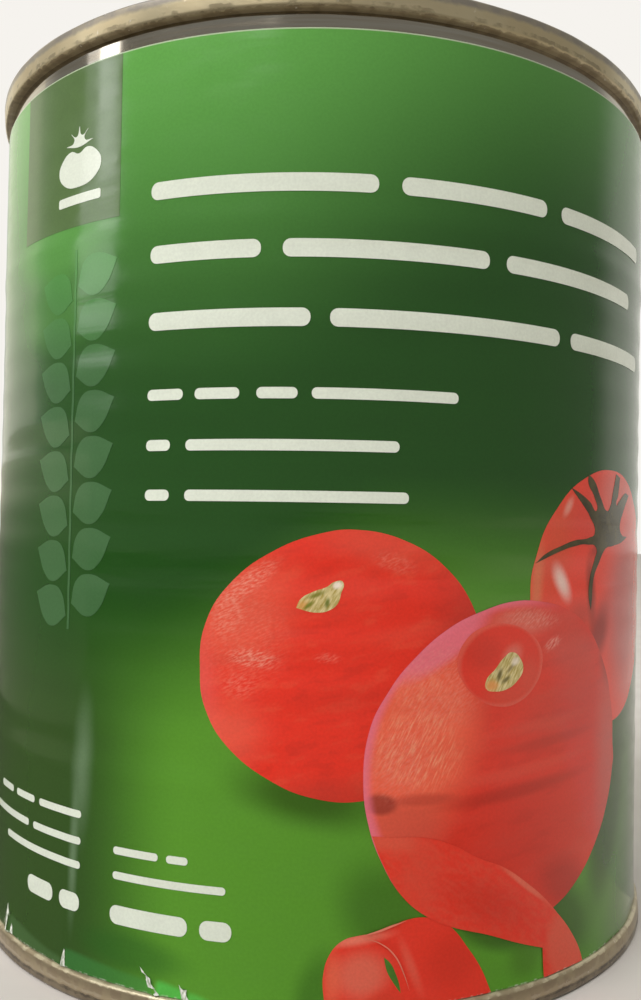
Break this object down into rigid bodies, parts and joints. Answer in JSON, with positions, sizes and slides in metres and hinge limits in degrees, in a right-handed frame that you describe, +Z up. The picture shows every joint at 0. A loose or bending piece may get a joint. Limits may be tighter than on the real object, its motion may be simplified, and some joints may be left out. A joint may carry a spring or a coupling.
{
  "type": "food tin with a paper label",
  "caption": "Shut cylindrical steel food tin with double-seamed recessed ends, a beaded body and a wrapped paper label printed with peeled tomatoes on green.",
  "frame": {"origin": "centre of the circle on which the tin stands, on its axis", "axes": "+Z up along the tin's axis, -Y out of the middle of the label's front, +X to the right of it"},
  "size_m": [0.1018, 0.1018, 0.1186],
  "materials": {
    "tinplate": "bright tinplate, rolled, semi-gloss",
    "end_lacquer": "gold-beige lacquered tinplate, semi-gloss, worn on the rim",
    "label_paper": "coated paper printed in green with red tomatoes, semi-gloss"
  },
  "bodies": {
    "root": {"can_body": "tinplate", "top_end": "end_lacquer", "base_end": "end_lacquer", "paper_label": "label_paper"}
  },
  "joints": []
}
